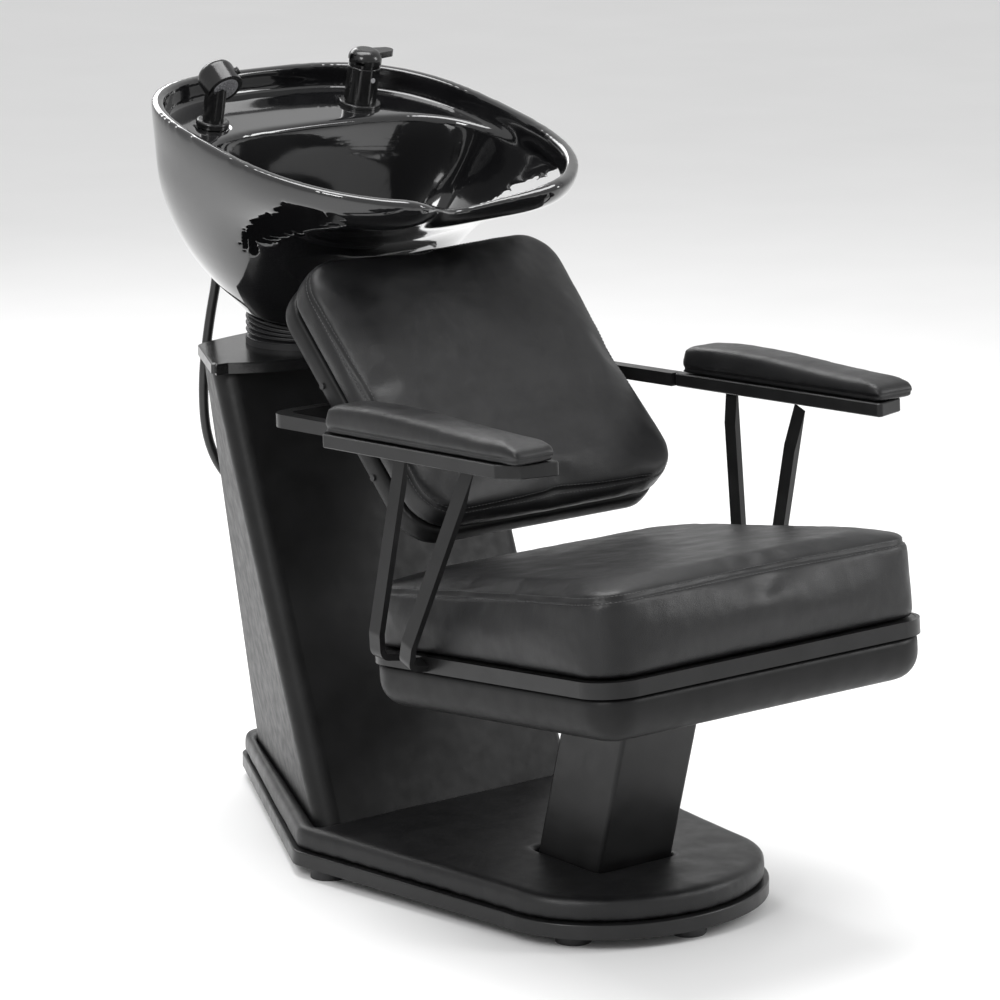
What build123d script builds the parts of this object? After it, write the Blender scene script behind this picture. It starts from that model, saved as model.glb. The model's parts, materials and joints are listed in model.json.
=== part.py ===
"""Salon backwash unit: a seat on a leaning column, and a tilting ceramic bowl on a tower behind it.

Millimetres. +Z is up, the sitter faces -Y, and +X is the sitter's left. Z = 0 is the floor.
"""

import math
import os

from build123d import *

os.makedirs("parts", exist_ok=True)

# ---------------------------------------------------------------- driving dimensions
# Base
FOOT_H = 27.0
FOOT_R = 22.0
BOARD_T = 18.0
BOARD_TOP = FOOT_H + BOARD_T
NOSE_Y, NOSE_A, NOSE_B = -7.0, 188.0, 150.0
WIDE_X, WIDE_Y = 235.0, 347.0
TAIL_X, TAIL_Y = 24.0, 746.0
PAD_T = 30.0
PAD_TOP = BOARD_TOP + 0.5 + PAD_T
PAD_INSET = 6.0

# Tower
TOWER_W, TOWER_FRONT = 211.0, 330.0
TOWER_LEAN = 0.384
TOWER_TAIL_X, TOWER_TAIL_Y = 24.0, 706.0
TOWER_TOP = 606.0
TOWER_REAR_X, TOWER_REAR_Y = 155.0, 640.0
TOWER_WALL = 16.0
CAP_T = 13.5
CAP_TOP = TOWER_TOP + CAP_T
POST_Y, POST_SIDE = 585.0, 56.0

# Seat column
COL_X, COL_Y = 117.0, 114.0
COL_FOOT_Y = 40.0
COL_LEAN = -0.256
COL_WALL = 4.0
FLANGE_T = 6.0

# Seat, in a plane that rises to the front
SEAT_Y, SEAT_Z = -40.0, 365.5
SEAT_TILT = 6.07
BAND_X, BAND_Y, BAND_H, BAND_T, BAND_R = 509.0, 460.0, 19.0, 5.0, 48.0
PAN_DEPTH = 74.0
CUSHION_REAR_H, CUSHION_FRONT_H = 74.0, 104.0

# Arms, in a plane that rises a little to the front
ARM_Z = 602.4
ARM_TILT = 3.73
ARM_T = 16.3
ARM_IN, ARM_OUT = 244.0, 308.0
ARM_FRONT, ARM_REAR = -177.0, 197.0
PAD_H_REAR, PAD_H_FRONT = 37.0, 25.0
BAR_W = 18.0
YOKE_REAR = 364.0
STRUT_W, STRUT_T = 20.0, 8.0

# Back
BACK_W, BACK_T, CUSHION_T, BACK_R = 390.0, 85.0, 52.0, 50.0
BACK_LOW, BACK_HIGH = -51.0, 328.0
BACK_Y, BACK_Z = 149.0, 545.0
RECLINE = 46.37

# Bowl, in a frame on the rim plane that rises to the rear
BOWL_Y, BOWL_Z = 503.0, 898.0
BOWL_TILT = 11.3
DECK = -30.0
DECK_EDGE = 104.0
HOLLOW_FRONT = 113.0
WALL = 14.0
NOTCH_HALF, NOTCH_DROP = 125.0, 36.0
FLOOR = -238.0
BOTTOM = -255.0
DRAIN_V, DRAIN_R = 25.0, 26.0
MIXER_X, MIXER_V = 105.0, 149.0
SPRAY_X, SPRAY_V = -135.0, 136.0
PIVOT_Y, PIVOT_Z = 590.0, 637.0
BOOT_A, BOOT_B = 110.0, 80.0


# Modelling starts under the seat; the library's frame starts on the floor under the middle of the whole unit.
MIDDLE_Y, FLOOR_Z = 237.9, 12.0


def save(piece, name):
    """Move a finished part into the library's frame, label it and write it."""
    moved = Pos(0, -MIDDLE_Y, -FLOOR_Z) * piece.part
    moved.label = name
    export_step(moved, f"parts/{name}.step")


# ---------------------------------------------------------------- frames
def tilted(y, z, degrees, lift=0.0):
    """A plane whose normal leans by degrees towards +Y, raised by lift along that normal."""
    a = math.radians(degrees)
    normal = (0.0, math.sin(a), math.cos(a))
    origin = (0.0, y + lift * normal[1], z + lift * normal[2])
    return Plane(origin=origin, x_dir=(1, 0, 0), z_dir=normal)


def seat_plane(lift=0.0):
    return tilted(SEAT_Y, SEAT_Z, SEAT_TILT, lift)


def arm_plane(lift=0.0):
    return tilted(0.0, ARM_Z, ARM_TILT, lift)


def bowl_plane(lift=0.0):
    return tilted(BOWL_Y, BOWL_Z, -BOWL_TILT, lift)


def back_plane(lift=0.0):
    """Local x across, y up the back, z out of the cushion's face."""
    return tilted(BACK_Y, BACK_Z, RECLINE - 90.0, lift)


def column_y(z):
    """Centre line of the leaning column at height z."""
    return COL_FOOT_Y + COL_LEAN * (z - BOARD_TOP)


# ---------------------------------------------------------------- base
def base_plan(height, inset=0.0):
    """Plan of the base: elliptical nose, flared sides and a rounded tail."""
    wide_x, tail_y = WIDE_X - inset, TAIL_Y - inset
    with BuildSketch(Plane.XY.offset(height)) as plan:
        with BuildLine():
            EllipticalCenterArc((0, NOSE_Y), NOSE_A - inset, NOSE_B - inset, start_angle=180, arc_size=180)
            Polyline(
                (NOSE_A - inset, NOSE_Y),
                (wide_x, WIDE_Y),
                (TAIL_X, tail_y),
                (-TAIL_X, tail_y),
                (-wide_x, WIDE_Y),
                (-NOSE_A + inset, NOSE_Y),
            )
        make_face()
        fillet(plan.vertices().filter_by_position(Axis.Y, WIDE_Y - 5, WIDE_Y + 5), 32)
        fillet(plan.vertices().filter_by_position(Axis.Y, tail_y - 5, tail_y + 5), 20)
    return plan.sketch


def tower_plan(z, grow=0.0):
    """Plan of the tower at height z: wide straight front, sides drawn in to the rear."""
    share = (z - BOARD_TOP) / (TOWER_TOP - BOARD_TOP)
    front = TOWER_FRONT + TOWER_LEAN * (z - PAD_TOP)
    rear_x = TOWER_TAIL_X + share * (TOWER_REAR_X - TOWER_TAIL_X)
    rear_y = TOWER_TAIL_Y + share * (TOWER_REAR_Y - TOWER_TAIL_Y)
    with BuildSketch(Plane.XY.offset(z)) as plan:
        with BuildLine():
            Polyline(
                (-TOWER_W, front),
                (TOWER_W, front),
                (rear_x, rear_y),
                (-rear_x, rear_y),
                close=True,
            )
        make_face()
        if grow:
            offset(amount=grow, kind=Kind.INTERSECTION)
    return plan.sketch


with BuildPart() as base_board:
    extrude(base_plan(FOOT_H), amount=BOARD_T)
    fillet(base_board.faces().sort_by(Axis.Z)[-1].edges(), 2)
save(base_board, "base_board")

with BuildPart() as base_pad:
    extrude(base_plan(BOARD_TOP + 0.5, PAD_INSET), amount=PAD_T)
    fillet(base_pad.faces().sort_by(Axis.Z)[-1].edges(), 11)
    add(tower_plan(BOARD_TOP, 1.5))
    add(tower_plan(BOARD_TOP + PAD_T + 4, 1.5))
    loft(ruled=True, mode=Mode.SUBTRACT)
    with BuildSketch(Plane.XY.offset(BOARD_TOP)):
        with Locations((0, column_y(60.0))):
            Rectangle(COL_X + 3, COL_Y + 14)
    extrude(amount=PAD_T + 4, mode=Mode.SUBTRACT)
    with BuildSketch(Plane.XY.offset(BOARD_TOP)):
        with Locations((0, COL_FOOT_Y)):
            Rectangle(COL_X + 58, COL_Y + 58)
    extrude(amount=FLANGE_T + 8, mode=Mode.SUBTRACT)
save(base_pad, "base_pad")

FEET = [(-202, 320), (202, 320), (-126, -60), (126, -60), (0, -122), (0, 690)]
with BuildPart() as feet:
    with BuildSketch(Plane.XY.offset(FLOOR_Z)):
        with Locations(*FEET):
            Circle(FOOT_R)
    extrude(amount=FOOT_H - FLOOR_Z)
    chamfer(feet.faces().filter_by(Axis.Z).sort_by(Axis.Z)[0].edges(), 2)
save(feet, "feet")

# ---------------------------------------------------------------- seat column
COL_TOP = -24.8  # seat frame height at which the column meets its top plate
with BuildPart() as column:
    with BuildSketch(Plane.XY.offset(BOARD_TOP + FLANGE_T)):
        with Locations((0, column_y(BOARD_TOP + FLANGE_T))):
            RectangleRounded(COL_X, COL_Y, 5)
            RectangleRounded(COL_X - 2 * COL_WALL, COL_Y - 2 * COL_WALL, 2, mode=Mode.SUBTRACT)
    extrude(amount=420, dir=(0, COL_LEAN, 1))
    split(bisect_by=seat_plane(COL_TOP), keep=Keep.BOTTOM)
save(column, "column")

with BuildPart() as column_flange:
    with BuildSketch(Plane.XY.offset(BOARD_TOP)):
        with Locations((0, COL_FOOT_Y)):
            RectangleRounded(COL_X + 52, COL_Y + 52, 6)
    extrude(amount=FLANGE_T)
save(column_flange, "column_flange")

with BuildPart() as column_bolts:
    with BuildSketch(Plane.XY.offset(BOARD_TOP + FLANGE_T)):
        with Locations((0, COL_FOOT_Y)):
            with GridLocations(COL_X + 34, COL_Y + 34, 2, 2):
                RegularPolygon(6.5, 6)
    extrude(amount=5)
save(column_bolts, "column_bolts")

PLATE_Y = 10.0
with BuildPart() as column_top_plate:
    with BuildSketch(seat_plane(COL_TOP)):
        with Locations((0, PLATE_Y)):
            RectangleRounded(190, 170, 6)
    extrude(amount=6)
save(column_top_plate, "column_top_plate")

# ---------------------------------------------------------------- seat
with BuildPart() as seat_band:
    with BuildSketch(seat_plane(-BAND_H)):
        RectangleRounded(BAND_X, BAND_Y, BAND_R)
        RectangleRounded(BAND_X - 2 * BAND_T, BAND_Y - 2 * BAND_T, BAND_R - BAND_T, mode=Mode.SUBTRACT)
    extrude(amount=BAND_H)
save(seat_band, "seat_band")

with BuildPart() as seat_board:
    with BuildSketch(seat_plane(-BAND_H + 0.5)):
        RectangleRounded(BAND_X - 2 * BAND_T - 1, BAND_Y - 2 * BAND_T - 1, BAND_R - BAND_T - 0.5)
    extrude(amount=BAND_H - 0.8)
save(seat_board, "seat_board")

with BuildPart() as seat_pan:
    with BuildSketch(seat_plane(-PAN_DEPTH)):
        RectangleRounded(BAND_X - 8, BAND_Y - 8, BAND_R - 4)
    extrude(amount=PAN_DEPTH - BAND_H - 0.5)
    fillet(seat_pan.faces().sort_by(Axis.Z)[:1].edges(), 34)
    with BuildSketch(seat_plane(COL_TOP - 8)):
        with Locations((0, PLATE_Y)):
            Rectangle(196, 176)
    extrude(amount=30, mode=Mode.SUBTRACT)
    with BuildSketch(Plane.XY.offset(260)):
        with Locations((0, column_y(260))):
            Rectangle(COL_X + 2, COL_Y + 2)
    extrude(amount=90, dir=(0, COL_LEAN, 1), mode=Mode.SUBTRACT)
save(seat_pan, "seat_pan")

with BuildPart() as seat_bolts:
    with BuildSketch(seat_plane(COL_TOP)):
        with Locations((0, PLATE_Y)):
            with GridLocations(165, 148, 2, 2):
                RegularPolygon(6.5, 6)
    extrude(amount=-5)
save(seat_bolts, "seat_bolts")

with BuildPart() as seat_cushion:
    with BuildSketch(seat_plane(0.3)):
        RectangleRounded(BAND_X - 4, BAND_Y - 4, BAND_R - 2)
    extrude(amount=140, taper=1.2)
    rise = math.degrees(math.atan2(CUSHION_FRONT_H - CUSHION_REAR_H, BAND_Y))
    middle = seat_plane((CUSHION_FRONT_H + CUSHION_REAR_H) / 2)
    split(bisect_by=middle.rotated((-rise, 0, 0)), keep=Keep.BOTTOM)
    fillet(seat_cushion.faces().sort_by(Axis.Z)[-1].edges(), 16)
save(seat_cushion, "seat_cushion")

# ---------------------------------------------------------------- arms
for side, label in ((-1, "right"), (1, "left")):
    with BuildPart() as arm_plate:
        with BuildSketch(arm_plane()) as plate_plan:
            with BuildLine():
                Polyline(
                    (side * ARM_IN, ARM_FRONT),
                    (side * (ARM_OUT - 18), ARM_FRONT + 15),
                    (side * ARM_OUT, ARM_FRONT + 40),
                    (side * ARM_OUT, ARM_REAR - 12),
                    (side * (ARM_OUT - 12), ARM_REAR),
                    (side * ARM_IN, ARM_REAR),
                    close=True,
                )
            make_face()
            fillet(plate_plan.vertices(), 5)
        extrude(amount=ARM_T)
        chamfer(arm_plate.faces().sort_by(Axis.Z)[-1].edges(), 1.2)
    save(arm_plate, f"{label}_arm_plate")

    with BuildPart() as arm_pad:
        pad_side = Plane(origin=arm_plane(ARM_T + 0.3).origin + Vector(side * (ARM_IN - 1), 0, 0),
                         x_dir=arm_plane().y_dir, z_dir=(side, 0, 0))
        with BuildSketch(pad_side):
            with BuildLine():
                flip = 1 if side > 0 else -1
                rear = ARM_REAR - 6
                front = ARM_FRONT + 4
                Polyline((rear, 0), (front, 0), (front - 3, flip * 9), (front + 5, flip * 19), (front + 30, flip * PAD_H_FRONT))
                Spline(
                    (front + 30, flip * PAD_H_FRONT),
                    (front + 130, flip * (PAD_H_REAR - 8)),
                    (rear - 70, flip * PAD_H_REAR),
                    (rear - 8, flip * (PAD_H_REAR - 4)),
                )
                Line((rear - 8, flip * (PAD_H_REAR - 4)), (rear, 0))
            make_face()
        extrude(amount=ARM_OUT - ARM_IN + 1)
        fillet(arm_pad.edges().filter_by(GeomType.BSPLINE), 10)
    save(arm_pad, f"{label}_arm_pad")

with BuildPart() as arm_screws:
    with BuildSketch(arm_plane()):
        for side in (-1, 1):
            with Locations((side * 285, -120), (side * 285, 0), (side * 285, 160)):
                Circle(5)
    extrude(amount=-3)
save(arm_screws, "arm_screws")

with BuildPart() as rear_yoke:
    outer_x = ARM_IN - 4 + BAR_W
    inner_x = ARM_IN - 4
    with BuildSketch(arm_plane()) as yoke_plan:
        with Locations((0, (ARM_REAR + 0.4 + YOKE_REAR) / 2)):
            Rectangle(2 * outer_x, YOKE_REAR - ARM_REAR - 0.4)
        with Locations((0, (ARM_REAR + YOKE_REAR - BAR_W) / 2)):
            Rectangle(2 * inner_x, YOKE_REAR - BAR_W - ARM_REAR, mode=Mode.SUBTRACT)
        fillet(yoke_plan.vertices().filter_by_position(Axis.Y, 350, 380), 28)
        fillet(yoke_plan.vertices().filter_by_position(Axis.Y, 335, 349).filter_by_position(Axis.X, -250, 250), 11)
    extrude(amount=ARM_T)
save(rear_yoke, "rear_yoke")

# Each strut runs in the plane of X and its own lean: foot on the band, head under the arm plate.
STRUTS = {"rear": (115.0, 102.0), "front": (62.0, -21.0)}
STRUT_FOOT_Z, STRUT_HEAD_Z = 345.0, 592.0
for side, label in ((-1, "right"), (1, "left")):
    for end, (foot_y, head_y) in STRUTS.items():
        up = Vector(0, head_y - foot_y, STRUT_HEAD_Z - STRUT_FOOT_Z).normalized()
        lean = Plane(origin=(0, foot_y, STRUT_FOOT_Z), x_dir=(side, 0, 0), z_dir=Vector(side, 0, 0).cross(up))
        with BuildPart() as strut:
            with BuildSketch(lean):
                with BuildLine() as spine:
                    FilletPolyline(
                        (BAND_X / 2, 0),
                        (281, 4),
                        (284, 32),
                        (246, 300),
                        radius=12,
                    )
                trace(spine.line, line_width=STRUT_T)
            extrude(amount=STRUT_W / 2, both=True)
            split(bisect_by=arm_plane(-0.2), keep=Keep.BOTTOM)
            split(bisect_by=Plane(origin=(side * (BAND_X / 2 + 0.05), 0, 0), z_dir=(side, 0, 0)), keep=Keep.TOP)
        save(strut, f"{label}_{end}_strut")

# ---------------------------------------------------------------- back
with BuildPart() as back_cushion:
    with BuildSketch(back_plane(-CUSHION_T)):
        with Locations((0, (BACK_LOW + BACK_HIGH) / 2)):
            RectangleRounded(BACK_W, BACK_HIGH - BACK_LOW, BACK_R)
    extrude(amount=CUSHION_T)
    fillet(back_cushion.faces().sort_by(Axis((0, 0, 0), back_plane().z_dir))[-1].edges(), 14)
save(back_cushion, "back_cushion")

with BuildPart() as back_shell:
    with BuildSketch(back_plane(-BACK_T)):
        with Locations((0, (BACK_LOW + BACK_HIGH) / 2)):
            RectangleRounded(BACK_W - 2, BACK_HIGH - BACK_LOW - 2, BACK_R - 1)
    extrude(amount=BACK_T - CUSHION_T - 0.5)
    fillet(back_shell.faces().sort_by(Axis((0, 0, 0), back_plane().z_dir))[0].edges(), 10)
save(back_shell, "back_shell")

BRACKET_X = 120.0
BRACKET_T = 6.0
BRACKET_LOW, BRACKET_HIGH = 108.0, 190.0


def behind_back(s, gap):
    """A point (y, z) at s up the back, gap behind its rear face."""
    p = back_plane(-BACK_T - gap).from_local_coords((0, s, 0))
    return p.Y, p.Z


def under_yoke(y, lift):
    """A point (y, z) on the yoke's level at distance y."""
    return y, ARM_Z - math.tan(math.radians(ARM_TILT)) * y + lift


with BuildPart() as back_brackets:
    with BuildSketch(back_plane(-BACK_T - 0.3)):
        with Locations((-BRACKET_X, (BRACKET_LOW + BRACKET_HIGH) / 2), (BRACKET_X, (BRACKET_LOW + BRACKET_HIGH) / 2)):
            RectangleRounded(44, BRACKET_HIGH - BRACKET_LOW, 5)
    extrude(amount=-4)
    for x in (-BRACKET_X, BRACKET_X):
        with BuildSketch(Plane(origin=(x - BRACKET_T / 2, 0, 0), x_dir=(0, 1, 0), z_dir=(1, 0, 0))):
            with BuildLine():
                Polyline(
                    behind_back(BRACKET_LOW + 4, 3),
                    behind_back(BRACKET_HIGH - 4, 3),
                    under_yoke(YOKE_REAR - BAR_W - 0.8, ARM_T),
                    under_yoke(YOKE_REAR - BAR_W - 0.8, 0.5),
                    close=True,
                )
            make_face()
        extrude(amount=BRACKET_T)
save(back_brackets, "back_brackets")

with BuildPart() as back_screws:
    with BuildSketch(back_plane(-BACK_T - 4.3)):
        for x in (-BRACKET_X, BRACKET_X):
            with Locations((x - 14, BRACKET_LOW + 12), (x + 14, BRACKET_LOW + 12)):
                Circle(4)
            with Locations((x - 14, BRACKET_HIGH - 12), (x + 14, BRACKET_HIGH - 12)):
                Circle(4)
    extrude(amount=-2.5)
save(back_screws, "back_screws")

with BuildPart() as back_side_screws:
    for side in (-1, 1):
        for s in (52.0, 190.0):
            spot = back_plane(-BACK_T + 12).from_local_coords((side * (BACK_W / 2 - 1), s, 0))
            with BuildSketch(Plane(origin=spot, z_dir=(side, 0, 0))):
                Circle(4)
            extrude(amount=2)
save(back_side_screws, "back_side_screws")

# ---------------------------------------------------------------- tower
with BuildPart() as tower_shell:
    add(tower_plan(BOARD_TOP))
    add(tower_plan(TOWER_TOP))
    loft(ruled=True)
    upright = [e for e in tower_shell.edges() if abs(e.tangent_at(0.5).Z) > 0.5]
    fillet(upright, 22)
    add(tower_plan(BOARD_TOP - 1, -TOWER_WALL))
    add(tower_plan(TOWER_TOP + 1, -TOWER_WALL))
    loft(ruled=True, mode=Mode.SUBTRACT)
save(tower_shell, "tower_shell")

# The service panel lies on the tower's rear face, which narrows downwards.
REAR_TILT = math.degrees(math.atan2(TOWER_TAIL_Y - TOWER_REAR_Y, TOWER_TOP - BOARD_TOP))
rear_up = Vector(0, TOWER_REAR_Y - TOWER_TAIL_Y, TOWER_TOP - BOARD_TOP).normalized()
rear_face = Plane(origin=(0, TOWER_REAR_Y, TOWER_TOP), x_dir=(-1, 0, 0), z_dir=Vector(-1, 0, 0).cross(rear_up))
PANEL = [(-105, -40), (105, -40), (58, -330), (-58, -330)]
with BuildPart() as rear_panel:
    with BuildSketch(rear_face.offset(0.2)) as panel_plan:
        Polygon(*PANEL, align=None)
        fillet(panel_plan.vertices(), 12)
    extrude(amount=3)
save(rear_panel, "rear_panel")

with BuildPart() as panel_screws:
    with BuildSketch(rear_face.offset(3.2)):
        with Locations((-92, -54), (92, -54), (-50, -316), (50, -316)):
            Circle(4)
    extrude(amount=1.8)
save(panel_screws, "panel_screws")

CAP_Y, CAP_A, CAP_B = 580.0, 226.0, 95.0
with BuildPart() as tower_cap:
    with BuildSketch(Plane.XY.offset(TOWER_TOP + 0.2)):
        with Locations((0, CAP_Y)):
            Ellipse(CAP_A, CAP_B)
        with Locations((0, CAP_Y)):
            Rectangle(2 * (TOWER_W + 1), 300, mode=Mode.INTERSECT)
        outline = [(-TOWER_W - 1, 470), (TOWER_W + 1, 470), (TOWER_W + 1, 541)]
        outline += [(141, 677), (-141, 677), (-TOWER_W - 1, 541)]
        Polygon(*outline, align=None, mode=Mode.INTERSECT)
        with BuildLine():
            Polyline(
                (-TOWER_W - 1, 531),
                (TOWER_W + 1, 531),
                (180, 600),
                (-180, 600),
                close=True,
            )
        make_face()
        with Locations((0, POST_Y + 5)):
            Circle(34, mode=Mode.SUBTRACT)
    extrude(amount=CAP_T)
    chamfer(tower_cap.faces().filter_by(Axis.Z).sort_by(Axis.Z)[-1].outer_wire().edges(), 2)
save(tower_cap, "tower_cap")

with BuildPart() as tower_post:
    with BuildSketch(Plane.XY.offset(BOARD_TOP)):
        with Locations((0, POST_Y)):
            Rectangle(POST_SIDE + 22, POST_SIDE + 22)
    extrude(amount=6)
    with BuildSketch(Plane.XY.offset(BOARD_TOP)):
        with Locations((0, POST_Y)):
            RectangleRounded(POST_SIDE, POST_SIDE, 4)
    extrude(amount=TOWER_TOP - BOARD_TOP - 0.2)
    with BuildSketch(Plane.XY.offset(TOWER_TOP - 6.2)):
        with Locations((0, POST_Y)):
            Rectangle(140, POST_SIDE + 8)
    extrude(amount=6)
    with BuildSketch(Plane.XY.offset(BOARD_TOP - 1)):
        with Locations((0, POST_Y)):
            RectangleRounded(POST_SIDE - 6, POST_SIDE - 6, 2)
    extrude(amount=TOWER_TOP, mode=Mode.SUBTRACT)
save(tower_post, "tower_post")

# The waste runs down inside the post; the two supplies run down in front of it.
with BuildPart() as waste_pipe:
    with BuildSketch(Plane.XY.offset(BOARD_TOP + 2)):
        with Locations((0, POST_Y)):
            Circle(20)
            Circle(18, mode=Mode.SUBTRACT)
    extrude(amount=TOWER_TOP - BOARD_TOP - 12)
save(waste_pipe, "waste_pipe")

with BuildPart() as supply_pipes:
    with BuildSketch(Plane.XY.offset(90)):
        with Locations((-22, POST_Y - 46), (22, POST_Y - 46)):
            Circle(7.5)
            Circle(6.5, mode=Mode.SUBTRACT)
    extrude(amount=400)
save(supply_pipes, "supply_pipes")

# ---------------------------------------------------------------- tilting joint
CHEEK_X = 60.0
CHEEK_T = 5.0
PIN_R = 6.0


def cheek(x, outline):
    """The outline of an upright cheek whose lower-x face is at x, from points in y and z."""
    with BuildSketch(Plane(origin=(x, 0, 0), x_dir=(0, 1, 0), z_dir=(1, 0, 0))) as face:
        with BuildLine():
            Polyline(*outline, close=True)
        make_face()
    return face.sketch


def pivot_disc(x, radius):
    """A disc on the tilt axis, facing +X at x."""
    with BuildSketch(Plane(origin=(x, 0, 0), x_dir=(0, 1, 0), z_dir=(1, 0, 0))) as disc:
        with Locations((PIVOT_Y, PIVOT_Z)):
            Circle(radius)
    return disc.sketch


def beside_pivot(y, z):
    return PIVOT_Y + y, PIVOT_Z + z


with BuildPart() as lower_bracket:
    with BuildSketch(Plane.XY.offset(CAP_TOP + 0.2)):
        with Locations((0, PIVOT_Y)):
            Rectangle(2 * (CHEEK_X + CHEEK_T), 60)
            Circle(34, mode=Mode.SUBTRACT)
    extrude(amount=4)
    low = CAP_TOP + 0.2 - PIVOT_Z
    for x in (-CHEEK_X - CHEEK_T, CHEEK_X):
        extrude(cheek(x, [beside_pivot(*p) for p in ((-26, low), (26, low), (12, 10), (-12, 10))]), amount=CHEEK_T)
    extrude(pivot_disc(-90, PIN_R + 0.05), amount=180, mode=Mode.SUBTRACT)
save(lower_bracket, "lower_bracket")

INNER_CHEEK_X = CHEEK_X - CHEEK_T - 0.5
with BuildPart() as upper_bracket:
    with BuildSketch(bowl_plane(BOTTOM - 4.2)):
        with Locations((0, 37)):
            Rectangle(2 * (INNER_CHEEK_X + CHEEK_T), 62)
        with Locations((0, DRAIN_V)):
            Circle(30, mode=Mode.SUBTRACT)
    extrude(amount=4)
    top = bowl_plane(BOTTOM - 2)
    fore, aft = top.from_local_coords((0, 12, 0)), top.from_local_coords((0, 60, 0))
    for x in (-INNER_CHEEK_X - CHEEK_T, INNER_CHEEK_X):
        extrude(cheek(x, [(fore.Y, fore.Z), (aft.Y, aft.Z), beside_pivot(10, -10), beside_pivot(-10, -10)]), amount=CHEEK_T)
    extrude(pivot_disc(-90, PIN_R + 0.05), amount=180, mode=Mode.SUBTRACT)
save(upper_bracket, "upper_bracket")

with BuildPart() as tilt_pins:
    for x in (-CHEEK_X - CHEEK_T - 3, INNER_CHEEK_X - 3):
        extrude(pivot_disc(x, PIN_R), amount=2 * CHEEK_T + 6.5)
save(tilt_pins, "tilt_pins")

with BuildPart() as boot_collar:
    with BuildSketch(Plane.XY.offset(CAP_TOP + 0.2)):
        with Locations((0, PIVOT_Y)):
            Ellipse(BOOT_A, BOOT_B)
            Ellipse(BOOT_A - 6, BOOT_B - 6, mode=Mode.SUBTRACT)
    extrude(amount=7)
save(boot_collar, "boot_collar")

BOOT_V, BOOT_W = 40.0, 6.0
with BuildPart() as boot:
    with BuildSketch(Plane.XY.offset(CAP_TOP + 7.4)):
        with Locations((0, PIVOT_Y)):
            Ellipse(BOOT_A - 1, BOOT_B - 1)
    with BuildSketch(bowl_plane(BOTTOM - 0.6)):
        with Locations((0, BOOT_V)):
            Ellipse(BOOT_A - 4, BOOT_B)
    loft()
    with BuildSketch(Plane.XY.offset(CAP_TOP + 7.3)):
        with Locations((0, PIVOT_Y)):
            Ellipse(BOOT_A - 7, BOOT_B - 7)
    with BuildSketch(bowl_plane(BOTTOM - 0.5)):
        with Locations((0, BOOT_V)):
            Ellipse(BOOT_A - 10, BOOT_B - 6)
    loft(mode=Mode.SUBTRACT)
save(boot, "boot")

# ---------------------------------------------------------------- bowl
# Outer sections: height, half width, front, back, front and rear roundness, neck recess.
OUTER = [
    (0.0, 240.0, -272.0, 242.0, 2.25, 3.1, 60.0),
    (-30.0, 236.0, -262.0, 240.0, 2.25, 3.0, 55.0),
    (-60.0, 229.0, -205.0, 236.0, 2.3, 2.8, 15.0),
    (-110.0, 214.0, -115.0, 222.0, 2.3, 2.6, 0.0),
    (-170.0, 184.0, -70.0, 198.0, 2.2, 2.4, 0.0),
    (-215.0, 148.0, -48.0, 168.0, 2.1, 2.2, 0.0),
    (BOTTOM, 108.0, -40.0, 130.0, 2.0, 2.0, 0.0),
]
BASIN = [
    (DECK + 1.0, 222.0, -248.0, DECK_EDGE, 2.3, 3.4, 55.0),
    (-60.0, 214.0, -190.0, 100.0, 2.3, 3.4, 15.0),
    (-110.0, 198.0, -98.0, 96.0, 2.3, 3.2, 0.0),
    (-170.0, 166.0, -52.0, 90.0, 2.2, 2.8, 0.0),
    (-215.0, 120.0, -30.0, 80.0, 2.1, 2.4, 0.0),
    (FLOOR, 74.0, -14.0, 66.0, 2.0, 2.0, 0.0),
]


def oval(height, half, front, back, front_round, rear_round, recess):
    """A closed rounded section, pulled back at the middle of its front for the neck."""
    centre = (front + back) / 2
    points = []
    for i in range(40):
        turn = 2 * math.pi * (i + 0.5) / 40
        c, s = math.cos(turn), math.sin(turn)
        power = 2 / (rear_round if s > 0 else front_round)
        x = half * math.copysign(abs(c) ** power, c)
        v = centre + (back - centre) * math.copysign(abs(s) ** power, s)
        if s < 0 and abs(x) < NOTCH_HALF:
            v += recess * 0.5 * (1 + math.cos(math.pi * x / NOTCH_HALF))
        points.append((x, v))
    with BuildSketch(bowl_plane(height)) as section:
        with BuildLine():
            Spline(*points, periodic=True)
        make_face()
    return section.sketch


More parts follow.
